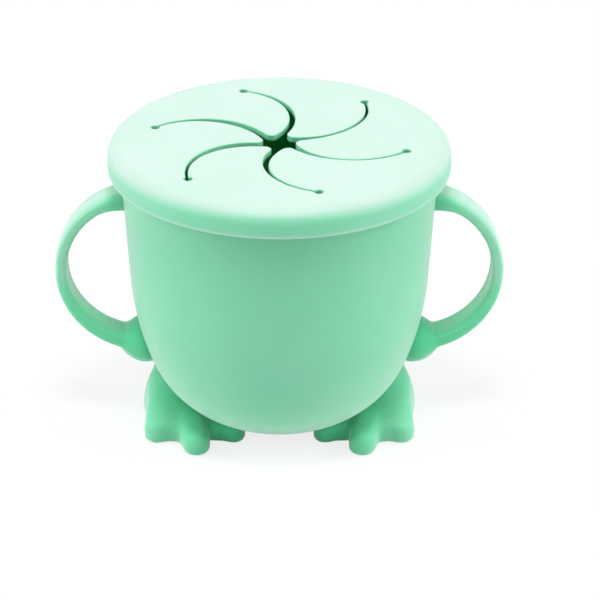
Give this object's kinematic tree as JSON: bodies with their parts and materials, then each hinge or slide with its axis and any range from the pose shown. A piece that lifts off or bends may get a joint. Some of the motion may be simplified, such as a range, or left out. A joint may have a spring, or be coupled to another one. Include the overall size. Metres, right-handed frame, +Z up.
{
  "type": "toddler snack container",
  "caption": "Round-bellied silicone snack cup with loop handles, webbed feet and a pull-off lid whose curved flaps let a small hand reach in.",
  "frame": {"origin": "on the cup's axis at the table it stands on", "axes": "+Z up along the cup's axis; +X to the right handle; the toes point to -Y"},
  "size_m": [0.106, 0.0794, 0.073],
  "materials": {
    "cup_silicone": "soft matte mint silicone",
    "lid_silicone": "soft matte mint silicone"
  },
  "bodies": {
    "cup": {"cup_bowl": "cup_silicone", "left_handle": "cup_silicone", "right_handle": "cup_silicone", "left_foot": "cup_silicone", "right_foot": "cup_silicone"},
    "lid": {"lid_ring": "lid_silicone"},
    "flap_1": {"lid_flap_1": "lid_silicone"},
    "flap_2": {"lid_flap_2": "lid_silicone"},
    "flap_3": {"lid_flap_3": "lid_silicone"},
    "flap_4": {"lid_flap_4": "lid_silicone"},
    "flap_5": {"lid_flap_5": "lid_silicone"},
    "flap_6": {"lid_flap_6": "lid_silicone"}
  },
  "joints": [
    {"name": "lid_lift", "type": "slide", "parent": "cup", "child": "lid", "axis": [0, 0, 1], "range_m": [0, 0.05]},
    {"name": "flap_1_bend", "type": "hinge", "parent": "lid", "child": "flap_1", "pos_m": [0.02032, 0.02179, 0.07225], "axis": [0.9863, -0.1647, 0], "range_deg": [-60, 75], "stiffness_Nm_per_rad": 0.004},
    {"name": "flap_2_bend", "type": "hinge", "parent": "lid", "child": "flap_2", "pos_m": [-0.00871, 0.02849, 0.07225], "axis": [0.6358, 0.7718, 0], "range_deg": [-60, 75], "stiffness_Nm_per_rad": 0.004},
    {"name": "flap_3_bend", "type": "hinge", "parent": "lid", "child": "flap_3", "pos_m": [-0.02903, 0.0067, 0.07225], "axis": [-0.3505, 0.9366, 0], "range_deg": [-60, 75], "stiffness_Nm_per_rad": 0.004},
    {"name": "flap_4_bend", "type": "hinge", "parent": "lid", "child": "flap_4", "pos_m": [-0.02032, -0.02179, 0.07225], "axis": [-0.9863, 0.1647, 0], "range_deg": [-60, 75], "stiffness_Nm_per_rad": 0.004},
    {"name": "flap_5_bend", "type": "hinge", "parent": "lid", "child": "flap_5", "pos_m": [0.00871, -0.02849, 0.07225], "axis": [-0.6358, -0.7718, 0], "range_deg": [-60, 75], "stiffness_Nm_per_rad": 0.004},
    {"name": "flap_6_bend", "type": "hinge", "parent": "lid", "child": "flap_6", "pos_m": [0.02903, -0.0067, 0.07225], "axis": [0.3505, -0.9366, 0], "range_deg": [-60, 75], "stiffness_Nm_per_rad": 0.004}
  ]
}
